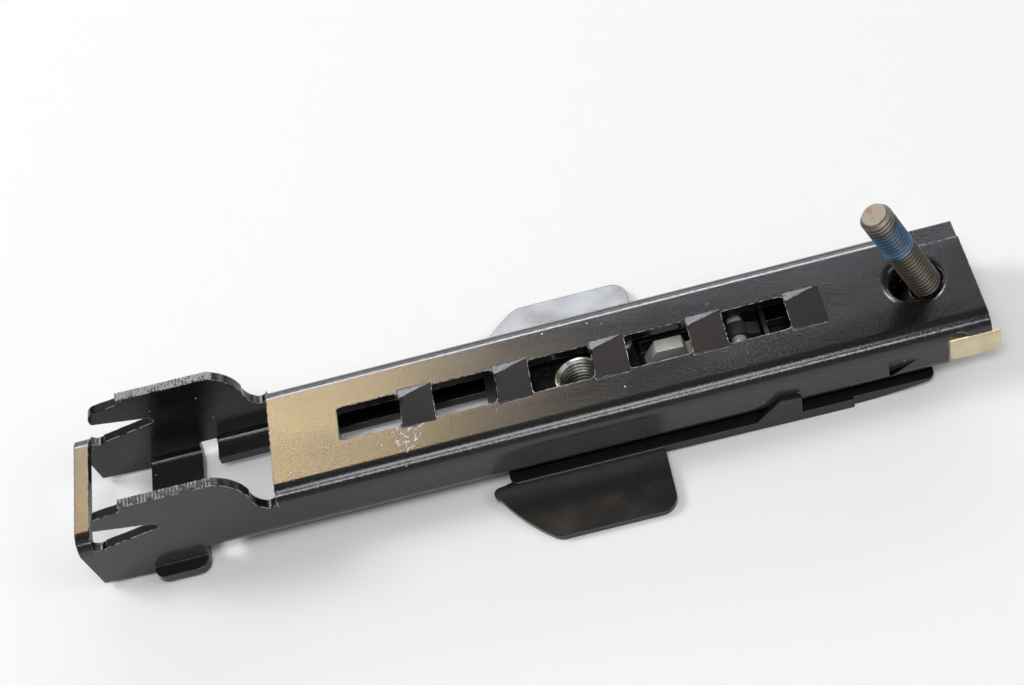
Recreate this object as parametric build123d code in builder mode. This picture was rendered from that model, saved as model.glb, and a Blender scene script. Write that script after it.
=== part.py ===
from build123d import *
from math import cos, radians, sin, tan
import os

os.makedirs("parts", exist_ok=True)

# Frame: X runs along the rail from the hook towards the bolt, Z points out of the web to the pillar,
# and the origin lies on the web's outer face, on the centre line, just ahead of the first window.

# Pressed rail
sheet = 2.5
rail_width = 35.6
rail_depth = 15.8
bend_radius = 4.5
front_slot = 18.0
web_start = -9.0
lip_start = -26.3
flange_end = 160.2
rail_end = 171.0
end_flange_depth = 4.1

# Row of latch windows, with a ramp pressed in behind each one
window_start = 9.0
window_pitch = 25.0
window_count = 5
window_length = 16.0
window_width = 10.4
window_lead_corner = 0.8
window_tail_corner = 1.5
ramp_depth = 1.4
ramp_side_slope = 0.9
ramp_side_inset = 0.7

# Hook end that grips the pillar's sheet
hook_end = -60.9
end_strip_width = 3.9
hook_heel = (-59.6, -17.4)
mouth_root = -38.9
mouth_lip = -54.0
mouth_rise = 5.2
mouth_root_radius = 1.2
mouth_fall = 2.7
finger_top = 10.7
finger_nose = 9.8
tooth_start = -45.0
tooth_end = -21.6
tooth_level = 12.5
tooth_drop = 0.5
tooth_count = 26
tooth_depth = 0.35
notch_floor = -2.9
relief_floor = -12.6
relief_width = 4.4
strap_start = -45.6
strap_width = 14.2
strap_drop = 18.5
ear_reach = 3.6
ear_corner = 3.0

# Dish round the pillar bolt, joggle, clip cut-outs and slider stops
dish_x = 156.7
dish_radius = 5.4
dish_wall = 2.2
dish_reach = 9.0
roll_radius = 2.7
bolt_hole_radius = 4.7
joggle_start = 158.8
joggle_y = 10.2
joggle_depth = 1.4
clip_notch_x = 162.8
clip_notch_radius = 2.6
stop_start = 145.2
stop_length = 7.6
stop_top = -6.1
stop_bottom = -12.8
stop_press = 1.8

# Pillar bolt, loose in its hole and leaning to the hook
bolt_radius = 4.0
bolt_length = 36.0
bolt_lean = 20.7
bolt_cross_x = 158.96
bolt_shank_radius = 3.6
bolt_shank_length = 12.0
bolt_below_face = 5.9
bolt_seat_gap = 0.1
bolt_tip_chamfer = 0.9
bolt_flange_radius = 7.4
bolt_flange_thickness = 1.5
bolt_head_radius = 6.3
bolt_head_height = 5.0
socket_radius = 3.4
socket_lobe_radius = 0.75
socket_lobes = 6
socket_depth = 3.4

# Spring clip that keeps the bolt
clip_sheet = 0.7
clip_depth = 4.4
clip_start = 145.2
clip_end = 173.0
clip_flat_end = 169.6
clip_side_gap = 0.5
clip_tab_depth = 7.6
clip_corner = 1.6
clip_opening = 8.0

# Slider plate with a fork at the latch end
slider_sheet = 3.5
slider_half_width = 13.0
slider_floor = -11.2
slider_start = 47.0
slider_end = 119.6
fork_start = 86.4
fork_half_gap = 10.2
fork_corner = 1.5
fork_overrun = 10.0
top_clearance = 0.3

# Threaded nut of the belt anchor, its collar reaching out through the front plate
anchor_x = 71.0
anchor_bore_radius = 5.0
anchor_chamfer = 1.0
anchor_barrel_radius = 6.5
anchor_top = -5.0
anchor_flange_radius = 8.6
anchor_flange_thickness = 1.7
anchor_end = -19.0

# Guide shoes
shoe_length = 12.0
shoe_gap = 0.25
shoe_corner = 2.2
shoe_wall = 1.1
shoe_channel_half = 6.8

# Latch housing, pin and rivets
housing_sheet = 1.8
housing_half_width = 9.2
housing_start = 80.2
housing_end = 118.4
cheek_start = 87.2
cheek_end = 117.8
cheek_top = -4.8
lap_half_width = 12.4
pivot_x = 112.0
pivot_z = -7.6
pin_radius = 2.0
pin_fit = 0.04
pin_head_radius = 3.0
pin_head = 0.8
rivet_x = 83.2
rivet_y = 9.2
rivet_radius = 1.5
rivet_head_radius = 2.6
rivet_head = 0.9

# Latch lever, drawn in the latched position about its pivot and built released
lever_thickness = 3.8
lever_y = 2.8
lever_boss_radius = 3.2
release_angle = 15.5
latch_face = -12.6
latch_face_top = 6.75
latch_face_foot = 3.4
latch_crest = (-19.3, 8.75)
latch_nose = (-23.7, 4.6)
latch_toe = (-22.9, 3.1)
latch_seat = [(-20.4, 5.0), (-17.4, 4.3)]
latch_belly = (-4.4, -1.7)
tail_reach = 5.8
tail_top = -0.6
tail_floor = -2.2

# Compression spring under the lever's tooth
spring_wire = 0.6
spring_turns = 2.5
spring_radius = 1.45
spring_x = 92.6
spring_gap = 0.4
spring_seat_gap = 0.04

# Push piece that works the lever from the front
pusher_x = 116.85
pusher_stem = 2.0
pusher_stem_width = 3.6
pusher_cap = 2.7
pusher_cap_width = 5.6
pusher_cap_thickness = 0.8
pusher_top = -8.6
pusher_button = 7.0
pusher_button_thickness = 2.6
pusher_corner = 1.2
pusher_fit = 0.35

# Front plate with its two wings
plate_gap = 0.3
plate_start = 47.8
plate_step = 135.6
plate_half_width = 19.3
plate_tail_half_width = 18.5
plate_corner = 2.0
plate_floor = [
    (47.8, -17.7),
    (66.0, -18.2),
    (87.0, -18.5),
    (105.0, -18.8),
    (122.0, -19.15),
    (132.0, -19.3),
    (141.0, -19.0),
    (147.5, -18.2),
    (153.6, -17.3),
    (156.4, -16.8),
]
wing_tip = 43.1
wing_nose = 1.9
wing_root = 48.2
wing_sink = 1.5
wing_shoulder = 57.3
wing_round = 1.6
wing_end = 87.4
wing_corner = 4.5
wing_half_span = 37.2
wing_top = -16.3
wing_sheet = 1.6
wing_droop = 1.2
fin_crest = 117.5
fin_ramp = 5.9
fin_flat = 5.1
fin_top = -9.4
fin_thickness = 1.2
seat_gap = 0.08

# Drive rivets that hold the front plate on the latch housing
plate_rivet_x = 100.0
plate_rivet_y = 4.0
plate_rivet_radius = 2.0
plate_rivet_head_radius = 3.6
plate_rivet_head = 0.9
plate_rivet_seat = -17.6

# Push-on washer that keeps the front plate on the collar
washer_thickness = 0.7
washer_radius = 9.6
washer_seat = -17.9
washer_gap = 0.3

# Places worked out from the sizes above
half_width = rail_width / 2
inner_half = half_width - sheet
clip_half_width = inner_half - clip_side_gap
fin_start = fin_crest - fin_ramp
fin_end = fin_crest + fin_flat
lip_level = -rail_depth + sheet
window_tails = [window_start + window_length + n * window_pitch for n in range(window_count)]
ramp_length = window_pitch - window_length
strap_end = strap_start + strap_width
strap_top = -strap_drop + sheet
strap_reach = half_width + ear_reach
slider_ceiling = -sheet - ramp_depth - top_clearance
slider_top = slider_floor + slider_sheet
plate_top = -rail_depth - plate_gap
clip_top = -clip_depth
bolt_axis = (-sin(radians(bolt_lean)), 0, cos(radians(bolt_lean)))
bolt_seat = (bolt_cross_x - bolt_below_face * bolt_axis[0], 0, -bolt_below_face * bolt_axis[2])


def channel_section():
    """C-section of the rail with its two inward lips, in a sketch on a YZ plane."""
    with Locations((0, -rail_depth / 2)):
        RectangleRounded(rail_width, rail_depth, bend_radius)
        RectangleRounded(
            rail_width - 2 * sheet, rail_depth - 2 * sheet, bend_radius - sheet, mode=Mode.SUBTRACT
        )
    with Locations((0, -rail_depth)):
        Rectangle(front_slot, 2 * sheet + 1, mode=Mode.SUBTRACT)


def hook_outline():
    """Side view of one flange at the hook end, X to the right and Z up."""
    strip_edge = hook_end + end_strip_width
    tooth_pitch = (tooth_end - tooth_start) / tooth_count
    with BuildSketch() as outline:
        with BuildLine():
            Polyline(hook_heel, (hook_end, -bend_radius), (strip_edge, -bend_radius))
            Line((strip_edge, -bend_radius), (strip_edge, -2.0))
            ThreePointArc(
                (strip_edge, -2.0),
                (strip_edge + 1.5, -mouth_fall - 0.6),
                (strip_edge + 3.6, -mouth_fall),
            )
            root_x = mouth_root - mouth_root_radius
            Line((strip_edge + 3.6, -mouth_fall), (root_x, 0.1))
            ThreePointArc(
                (root_x, 0.1),
                (mouth_root, 0.1 + mouth_root_radius),
                (root_x, 0.1 + 2 * mouth_root_radius),
            )
            Line((root_x, 0.1 + 2 * mouth_root_radius), (mouth_lip, mouth_rise))
            ThreePointArc((mouth_lip, mouth_rise), (mouth_lip + 0.1, 7.9), (mouth_lip + 2.6, finger_nose))
            Polyline((mouth_lip + 2.6, finger_nose), (tooth_start, finger_top), (tooth_start, tooth_level))
            crests = []
            for n in range(tooth_count):
                x = tooth_start + n * tooth_pitch
                level = tooth_level - tooth_drop * n / tooth_count
                crests.append((x, level))
                crests.append((x + 0.7 * tooth_pitch, level - tooth_depth))
            crests.append((tooth_end, tooth_level - tooth_drop))
            Polyline(*crests)
            shoulder = (web_start - 5.4, 3.4)
            ThreePointArc((tooth_end, tooth_level - tooth_drop), (web_start - 8.2, 9.0), shoulder)
            ThreePointArc(shoulder, (web_start - 4.4, -1.0), (web_start - 2.4, notch_floor))
            ThreePointArc((web_start - 2.4, notch_floor), (web_start - 0.7, -2.5), (web_start, -1.3))
            Polyline(
                (web_start, -1.3),
                (web_start, -bend_radius - 0.5),
                (web_start + 2, -bend_radius - 0.5),
                (web_start + 2, -rail_depth + bend_radius),
                (lip_start, -rail_depth + bend_radius),
                (lip_start, relief_floor),
                (lip_start - relief_width, relief_floor),
                (strap_end, relief_floor - 1.0),
                (strap_end, -strap_drop + bend_radius),
                (strap_start, -strap_drop + bend_radius),
                (strap_start, -strap_drop + 0.2),
                hook_heel,
            )
        make_face()
    return outline.sketch_local


# Wedge that dishes the web behind a window, its deep end at the origin
# Underside of the dish's floor, square to the leaning bolt
dish_floor = Plane(origin=bolt_seat, x_dir=(0, 1, 0), z_dir=bolt_axis).offset(bolt_seat_gap)


with BuildPart() as dish_cup:
    with BuildSketch(Plane.XY.offset(-sheet)):
        with Locations((dish_x, 0)):
            Circle(dish_radius + dish_wall)
    extrude(amount=-dish_reach)
    split(bisect_by=dish_floor, keep=Keep.TOP)


with BuildPart() as dish_room:
    with BuildSketch(Plane.XZ):
        with BuildLine():
            wall_x = dish_x + dish_radius
            rim_x = wall_x + roll_radius
            Polyline(
                (wall_x, -roll_radius),
                (wall_x, -dish_reach),
                (dish_x, -dish_reach),
                (dish_x, 1),
                (rim_x, 1),
                (rim_x, 0),
            )
            CenterArc((rim_x, -roll_radius), roll_radius, 90, 90)
        make_face()
    revolve(axis=Axis((dish_x, 0, 0), (0, 0, 1)))
    split(bisect_by=dish_floor.offset(sheet), keep=Keep.TOP)


with BuildPart() as ramp_wedge:
    with BuildSketch(Plane.XZ.offset(-window_width)):
        with BuildLine():
            Polyline((0, 0), (ramp_length, 0), (0, -ramp_depth), close=True)
        make_face()
    extrude(amount=2 * window_width)
    with BuildSketch(Plane.YZ):
        with BuildLine():
            Polyline(
                (-window_width / 2 - ramp_side_slope, 0),
                (window_width / 2 + ramp_side_slope, 0),
                (window_width / 2 - ramp_side_inset, -ramp_depth),
                (-window_width / 2 + ramp_side_inset, -ramp_depth),
                close=True,
            )
        make_face()
    extrude(amount=ramp_length, mode=Mode.INTERSECT)

# Wedge of a slider stop, standing in from the plane Y = 0 towards negative Y
with BuildPart() as stop_wedge:
    with BuildSketch(Plane.XZ.offset(-stop_press)):
        with BuildLine():
            Polyline(
                (stop_start, stop_top),
                (stop_start + stop_length, stop_top - 1.6),
                (stop_start, stop_bottom),
                close=True,
            )
        make_face()
    extrude(amount=2 * stop_press + 1)
    with BuildSketch(Plane.XY.offset(-rail_depth)):
        with BuildLine():
            Polyline(
                (stop_start, 0),
                (stop_start + stop_length, 0),
                (stop_start, -stop_press),
                close=True,
            )
        make_face()
    extrude(amount=rail_depth, mode=Mode.INTERSECT)

with BuildPart() as rail:
    # Channel with its web, from the shoulder to the clip cut-outs
    with BuildSketch(Plane.YZ.offset(web_start)):
        channel_section()
    extrude(amount=flange_end - web_start)
    # Lips run on under the open hook end
    with BuildSketch(Plane.YZ.offset(lip_start)):
        channel_section()
        with Locations((0, 0)):
            Rectangle(rail_width + 2, 2 * (rail_depth - bend_radius), mode=Mode.SUBTRACT)
    extrude(amount=web_start - lip_start)
    # Web and shallow flanges past the cut-outs
    with BuildSketch(Plane.YZ.offset(flange_end)):
        channel_section()
        with Locations((0, -rail_depth)):
            Rectangle(rail_width + 2, 2 * (rail_depth - end_flange_depth), mode=Mode.SUBTRACT)
    extrude(amount=rail_end - flange_end)
    # End strip across the hook, in the plane of the web
    with BuildSketch(Plane.YZ.offset(hook_end)):
        channel_section()
        with Locations((0, -rail_depth)):
            Rectangle(rail_width + 2, 2 * (rail_depth - bend_radius), mode=Mode.SUBTRACT)
    extrude(amount=end_strip_width)
    # Two hook flanges
    for side in (1, -1):
        with BuildSketch(Plane.XZ.offset(-side * half_width)):
            add(hook_outline())
        extrude(amount=side * sheet)
    # Strap folded in from the far flange, its end standing out under the near one
    with BuildSketch(Plane.YZ.offset(strap_start)):
        with Locations((half_width - bend_radius, -strap_drop + bend_radius)):
            Circle(bend_radius)
            Circle(bend_radius - sheet, mode=Mode.SUBTRACT)
            with Locations((-bend_radius, 0)):
                Rectangle(2 * bend_radius, 4 * bend_radius, mode=Mode.SUBTRACT)
            with Locations((0, bend_radius)):
                Rectangle(4 * bend_radius, 2 * bend_radius, mode=Mode.SUBTRACT)
        with Locations(((half_width - bend_radius - strap_reach) / 2, -strap_drop + sheet / 2)):
            Rectangle(half_width - bend_radius + strap_reach, sheet)
        with Locations((-half_width + sheet / 2, (strap_top - strap_drop + bend_radius) / 2)):
            Rectangle(sheet, -strap_drop + bend_radius - strap_top)
    extrude(amount=strap_width)
    fillet(
        rail.edges().filter_by(Axis.Z).filter_by_position(Axis.Y, -strap_reach - 0.1, -strap_reach + 0.1),
        ear_corner,
    )
    # Far corner of the web steps down towards the end
    with BuildSketch(Plane.YZ.offset(joggle_start)):
        with Locations((half_width, 0)):
            Rectangle(2 * (half_width - joggle_y), 2 * joggle_depth)
    extrude(amount=rail_end - joggle_start, mode=Mode.SUBTRACT)
    with BuildSketch(Plane.YZ.offset(joggle_start)):
        with Locations((0, -rail_depth / 2 - joggle_depth)):
            RectangleRounded(rail_width, rail_depth, bend_radius)
            RectangleRounded(
                rail_width - 2 * sheet, rail_depth - 2 * sheet, bend_radius - sheet, mode=Mode.SUBTRACT
            )
        with Locations((joggle_y - sheet - rail_width, -rail_depth / 2)):
            Rectangle(2 * rail_width, 2 * rail_depth, mode=Mode.SUBTRACT)
        with Locations((0, -rail_depth - joggle_depth)):
            Rectangle(rail_width + 2, 2 * (rail_depth + joggle_depth - end_flange_depth), mode=Mode.SUBTRACT)
    extrude(amount=rail_end - joggle_start)
    # Windows
    for tail in window_tails:
        with BuildSketch() as window:
            with Locations((tail - window_length / 2, 0)):
                Rectangle(window_length, window_width)
            fillet(window.vertices().group_by(Axis.X)[0], window_lead_corner)
            fillet(window.vertices().group_by(Axis.X)[-1], window_tail_corner)
        extrude(amount=sheet + 1, both=True, mode=Mode.SUBTRACT)
    # Ramps pressed in behind the windows: dished above, standing out below
    with Locations([(tail, 0, 0) for tail in window_tails]):
        add(ramp_wedge.part, mode=Mode.SUBTRACT)
    with Locations([(tail, 0, -sheet) for tail in window_tails]):
        add(ramp_wedge.part)
    # Dish pressed in round the bolt, and the hole in its floor
    add(dish_cup.part)
    add(dish_room.part, mode=Mode.SUBTRACT)
    with BuildSketch(dish_floor.offset(-1)):
        Circle(bolt_hole_radius)
    extrude(amount=dish_reach + sheet, mode=Mode.SUBTRACT)
    # Rounded notch above each clip tab
    with BuildSketch(Plane.XZ):
        with Locations((clip_notch_x, -end_flange_depth - 0.8)):
            Circle(clip_notch_radius)
    extrude(amount=rail_width, both=True, mode=Mode.SUBTRACT)
    # Slider stop lanced in from each flange
    with Locations((0, half_width, 0)):
        add(stop_wedge.part, mode=Mode.SUBTRACT)
    with Locations((0, inner_half, 0)):
        add(stop_wedge.part)
    with Locations(Location((0, -half_width, 0))):
        add(mirror(stop_wedge.part, about=Plane.XZ, mode=Mode.PRIVATE), mode=Mode.SUBTRACT)
    with Locations(Location((0, -inner_half, 0))):
        add(mirror(stop_wedge.part, about=Plane.XZ, mode=Mode.PRIVATE))
rail.part.label = "rail"
export_step(rail.part, "parts/rail.step")


with BuildPart() as mounting_bolt:
    with BuildSketch(Plane(origin=bolt_seat, x_dir=(0, 1, 0), z_dir=bolt_axis)):
        Circle(bolt_shank_radius)
    extrude(amount=bolt_shank_length)
    with BuildSketch(Plane(origin=bolt_seat, x_dir=(0, 1, 0), z_dir=bolt_axis).offset(bolt_shank_length)):
        Circle(bolt_radius)
    extrude(amount=bolt_length - bolt_shank_length)
    chamfer(mounting_bolt.edges().sort_by(Axis(bolt_seat, bolt_axis))[-1], bolt_tip_chamfer)
    with BuildSketch(Plane(origin=bolt_seat, x_dir=(0, 1, 0), z_dir=bolt_axis)):
        Circle(bolt_flange_radius)
    extrude(amount=-bolt_flange_thickness)
    head_plane = Plane(origin=bolt_seat, x_dir=(0, 1, 0), z_dir=bolt_axis).offset(-bolt_flange_thickness)
    with BuildSketch(head_plane):
        Circle(bolt_head_radius)
    extrude(amount=-bolt_head_height)
    chamfer(mounting_bolt.edges().sort_by(Axis(bolt_seat, bolt_axis))[0], 0.5)
    socket_level = -bolt_flange_thickness - bolt_head_height
    with BuildSketch(Plane(origin=bolt_seat, x_dir=(0, 1, 0), z_dir=bolt_axis).offset(socket_level)):
        Circle(socket_radius)
        with PolarLocations(socket_radius + 0.25, socket_lobes):
            Circle(socket_lobe_radius, mode=Mode.SUBTRACT)
    extrude(amount=socket_depth, mode=Mode.SUBTRACT)
mounting_bolt.part.label = "mounting_bolt"
export_step(mounting_bolt.part, "parts/mounting_bolt.step")


with BuildPart() as bolt_clip:
    tab_start = flange_end + 0.3
    # Flat of the clip, a fork round the dish and the bolt's head
    with BuildSketch(Plane.XY.offset(clip_top)):
        with Locations(((clip_start + clip_flat_end) / 2, 0)):
            RectangleRounded(clip_flat_end - clip_start, 2 * clip_half_width, clip_corner)
        with Locations(((tab_start + clip_flat_end - clip_corner) / 2, 0)):
            Rectangle(clip_flat_end - clip_corner - tab_start, rail_width)
        near_edge = -half_width + clip_sheet
        with Locations(((tab_start + clip_end) / 2, near_edge - clip_sheet / 2)):
            Rectangle(clip_end - tab_start, clip_sheet)
        with Locations((dish_x, 0)):
            Circle(clip_opening, mode=Mode.SUBTRACT)
        with Locations((dish_x + rail_width / 2, 0)):
            Rectangle(rail_width, 2 * clip_opening, mode=Mode.SUBTRACT)
    extrude(amount=-clip_sheet)
    # Tab lying in the cut-out of each flange
    for side, tab_end in ((1, clip_flat_end - clip_corner), (-1, clip_end)):
        with BuildSketch(Plane.XZ.offset(-side * half_width)):
            with Locations(((tab_start + tab_end) / 2, clip_top - clip_tab_depth / 2)):
                Rectangle(tab_end - tab_start, clip_tab_depth)
        extrude(amount=side * clip_sheet)
    fillet(
        bolt_clip.edges()
        .filter_by(Axis.Y)
        .filter_by(lambda e: abs(e.center().Y) > half_width - clip_sheet)
        .filter_by(lambda e: e.center().Z < clip_top - clip_tab_depth + 0.1),
        clip_corner,
    )
    fillet(
        bolt_clip.edges()
        .filter_by(Axis.X)
        .filter_by(lambda e: abs(e.center().Y) > half_width - 0.01)
        .filter_by(lambda e: e.center().Z > clip_top - 0.01),
        clip_sheet * 0.9,
    )
bolt_clip.part.label = "bolt_clip"
export_step(bolt_clip.part, "parts/bolt_clip.step")


with BuildPart() as slider_plate:
    plate_from = slider_start + shoe_wall
    plate_to = slider_end - shoe_wall
    with BuildSketch(Plane.XY.offset(slider_floor)):
        with Locations(((plate_from + plate_to) / 2, 0)):
            Rectangle(plate_to - plate_from, 2 * slider_half_width)
        fork_to = plate_to + fork_overrun
        with Locations(((fork_start + fork_to) / 2, 0)):
            RectangleRounded(fork_to - fork_start, 2 * fork_half_gap, fork_corner, mode=Mode.SUBTRACT)
        with Locations((anchor_x, 0)):
            Circle(anchor_barrel_radius, mode=Mode.SUBTRACT)
        with Locations((rivet_x, rivet_y), (rivet_x, -rivet_y)):
            Circle(rivet_radius, mode=Mode.SUBTRACT)
    extrude(amount=slider_sheet)
    chamfer(slider_plate.edges().filter_by(Axis.X).group_by(Axis.Z)[-1], 0.4)
slider_plate.part.label = "slider_plate"
export_step(slider_plate.part, "parts/slider_plate.step")


with BuildPart() as anchor_nut:
    with BuildSketch(Plane.XZ):
        with BuildLine():
            flange_floor = slider_floor - anchor_flange_thickness
            Polyline(
                (anchor_x + anchor_bore_radius + anchor_chamfer, anchor_top),
                (anchor_x + anchor_barrel_radius, anchor_top),
                (anchor_x + anchor_barrel_radius, slider_floor),
                (anchor_x + anchor_flange_radius, slider_floor),
                (anchor_x + anchor_flange_radius, flange_floor),
                (anchor_x + anchor_barrel_radius, flange_floor),
                (anchor_x + anchor_barrel_radius, anchor_end + 0.4),
                (anchor_x + anchor_barrel_radius - 0.4, anchor_end),
                (anchor_x + anchor_bore_radius + anchor_chamfer * 0.7, anchor_end),
                (anchor_x + anchor_bore_radius, anchor_end + anchor_chamfer * 0.7),
                (anchor_x + anchor_bore_radius, anchor_top - anchor_chamfer),
                close=True,
            )
        make_face()
    revolve(axis=Axis((anchor_x, 0, 0), (0, 0, 1)))
anchor_nut.part.label = "anchor_nut"
export_step(anchor_nut.part, "parts/anchor_nut.step")


def shoe_section():
    """Cross-section that runs in the channel, Y to the right and Z up."""
    top = -sheet - shoe_gap
    floor = lip_level + shoe_gap
    with BuildSketch() as section:
        with Locations((0, (top + floor) / 2)):
            RectangleRounded(2 * (inner_half - shoe_gap), top - floor, shoe_corner)
        with Locations((0, top)):
            Rectangle(2 * shoe_channel_half, 2 * (top - slider_ceiling), mode=Mode.SUBTRACT)
    return section.sketch_local


with BuildPart() as shoe_hook_end:
    with BuildSketch(Plane.YZ.offset(slider_start)):
        add(shoe_section())
    extrude(amount=shoe_length)
    # Pocket for the slider plate
    with BuildSketch(Plane.YZ.offset(slider_start + shoe_wall)):
        with Locations((0, slider_floor + slider_sheet / 2)):
            Rectangle(2 * slider_half_width, slider_sheet)
    extrude(amount=shoe_length, mode=Mode.SUBTRACT)
    # Open middle between the two running blocks
    with BuildSketch(Plane.XY.offset(-rail_depth)):
        with Locations((slider_start + shoe_length, 0)):
            Rectangle(2 * (shoe_length - 4.0), 2 * shoe_channel_half, mode=Mode.ADD)
    extrude(amount=rail_depth, mode=Mode.SUBTRACT)
shoe_hook_end.part.label = "shoe_hook_end"
export_step(shoe_hook_end.part, "parts/shoe_hook_end.step")


with BuildPart() as shoe_bolt_end:
    with BuildSketch(Plane.YZ.offset(slider_end)):
        add(shoe_section())
    extrude(amount=-shoe_length)
    # Pockets for the two fork arms
    with BuildSketch(Plane.YZ.offset(slider_end - shoe_wall)):
        with Locations((0, slider_floor + slider_sheet / 2)):
            Rectangle(2 * slider_half_width, slider_sheet)
    extrude(amount=-shoe_length, mode=Mode.SUBTRACT)
    # Room for the latch housing
    with BuildSketch(Plane.XY.offset(-rail_depth)):
        with Locations((slider_end - shoe_wall - shoe_length / 2, 0)):
            Rectangle(shoe_length, 2 * fork_half_gap)
    extrude(amount=rail_depth, mode=Mode.SUBTRACT)
shoe_bolt_end.part.label = "shoe_bolt_end"
export_step(shoe_bolt_end.part, "parts/shoe_bolt_end.step")


with BuildPart() as latch_housing:
    with BuildSketch(Plane.XY.offset(slider_floor)):
        with Locations(((housing_start + fork_start) / 2, 0)):
            Rectangle(fork_start - housing_start, 2 * lap_half_width)
        with Locations(((housing_start + housing_end) / 2, 0)):
            Rectangle(housing_end - housing_start, 2 * housing_half_width)
        with Locations((rivet_x, rivet_y), (rivet_x, -rivet_y)):
            Circle(rivet_radius, mode=Mode.SUBTRACT)
        with Locations((plate_rivet_x, plate_rivet_y), (plate_rivet_x, -plate_rivet_y)):
            Circle(plate_rivet_radius + seat_gap, mode=Mode.SUBTRACT)
        with Locations((pusher_x, lever_y)):
            Rectangle(pusher_stem + 2 * pusher_fit, pusher_stem_width + 2 * pusher_fit, mode=Mode.SUBTRACT)
    extrude(amount=-housing_sheet)
    for side in (1, -1):
        with BuildSketch(Plane.XZ.offset(-side * housing_half_width)):
            with BuildLine():
                Polyline(
                    (cheek_start, slider_floor - housing_sheet),
                    (cheek_end, slider_floor - housing_sheet),
                    (cheek_end, cheek_top),
                    (pivot_x - 6, cheek_top),
                    (pivot_x - 10, cheek_top - 2.2),
                    (cheek_start, cheek_top - 2.2),
                    close=True,
                )
            make_face()
            with Locations((pivot_x, pivot_z)):
                Circle(pin_radius, mode=Mode.SUBTRACT)
        extrude(amount=side * housing_sheet)
    fillet(
        latch_housing.edges()
        .filter_by(Axis.X)
        .filter_by(lambda e: abs(e.center().Y) > housing_half_width - 0.01)
        .filter_by(lambda e: e.center().Z < slider_floor - housing_sheet + 0.01)
        .filter_by(lambda e: e.center().X > fork_start)
        .filter_by(lambda e: abs(e.center().Y) < housing_half_width + 0.01),
        1.2,
    )
latch_housing.part.label = "latch_housing"
export_step(latch_housing.part, "parts/latch_housing.step")


with BuildPart() as latch_pin:
    with BuildSketch(Plane.XZ.offset(-housing_half_width - pin_head)):
        with Locations((pivot_x, pivot_z)):
            Circle(pin_head_radius)
    extrude(amount=pin_head)
    with BuildSketch(Plane.XZ.offset(-housing_half_width)):
        with Locations((pivot_x, pivot_z)):
            Circle(pin_radius)
    extrude(amount=2 * housing_half_width)
    with BuildSketch(Plane.XZ.offset(housing_half_width)):
        with Locations((pivot_x, pivot_z)):
            Circle(pin_head_radius)
    extrude(amount=pin_head)
    fillet(latch_pin.edges().group_by(Axis.Y)[0] + latch_pin.edges().group_by(Axis.Y)[-1], 0.4)
latch_pin.part.label = "latch_pin"
export_step(latch_pin.part, "parts/latch_pin.step")


with BuildPart() as slider_rivets:
    with BuildSketch(Plane.XY.offset(slider_floor - housing_sheet)):
        with Locations((rivet_x, rivet_y), (rivet_x, -rivet_y)):
            Circle(rivet_radius)
    extrude(amount=housing_sheet + slider_sheet)
    with BuildSketch(Plane.XY.offset(slider_top)):
        with Locations((rivet_x, rivet_y), (rivet_x, -rivet_y)):
            Circle(rivet_head_radius)
    extrude(amount=rivet_head)
    fillet(slider_rivets.edges().group_by(Axis.Z)[-1], 0.6)
slider_rivets.part.label = "slider_rivets"
export_step(slider_rivets.part, "parts/slider_rivets.step")


def pivot_plane(y):
    """Plane across the latch pin at this Y, turned so that latched points land released."""
    turn = radians(release_angle)
    return Plane(origin=(pivot_x, y, pivot_z), x_dir=(cos(turn), 0, sin(turn)), z_dir=(0, -1, 0))


with BuildPart() as latch_lever:
    with BuildSketch(pivot_plane(lever_y + lever_thickness / 2)):
        with BuildLine():
            Polyline(
                (latch_face, latch_face_foot),
                (latch_face, latch_face_top),
                latch_crest,
                latch_nose,
                latch_toe,
                *latch_seat,
                (latch_face - 0.6, latch_face_foot - 1.9),
                latch_belly,
                (0, -lever_boss_radius + 0.2),
                (tail_reach / 2, tail_floor + 0.7),
                (tail_reach - 0.4, tail_floor),
                (tail_reach, 0),
                (tail_reach - 0.4, tail_top),
                (0, lever_boss_radius - 0.2),
                (-3.0, latch_face_foot - 1.0),
                close=True,
            )
        make_face()
        Circle(lever_boss_radius)
        Circle(pin_radius + pin_fit, mode=Mode.SUBTRACT)
    extrude(amount=lever_thickness)
latch_lever.part.label = "latch_lever"
export_step(latch_lever.part, "parts/latch_lever.step")


with BuildPart() as latch_spring:
    # The lever's flat underside, seen in the released position
    seat_at = pivot_plane(lever_y).from_local_coords(Vector(*latch_seat[0], 0))
    spring_floor = slider_floor + spring_seat_gap + spring_wire / 2
    spring_top = seat_at.Z - spring_gap - spring_wire / 2
    with BuildLine() as coil_line:
        Helix(
            pitch=(spring_top - spring_floor) / spring_turns,
            height=spring_top - spring_floor,
            radius=spring_radius,
            center=(spring_x, lever_y, spring_floor),
            direction=(0, 0, 1),
        )
    with BuildSketch(Plane(origin=coil_line.line @ 0, z_dir=coil_line.line % 0)):
        Circle(spring_wire / 2)
    sweep(path=coil_line.line)
latch_spring.part.label = "latch_spring"
export_step(latch_spring.part, "parts/latch_spring.step")


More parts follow.
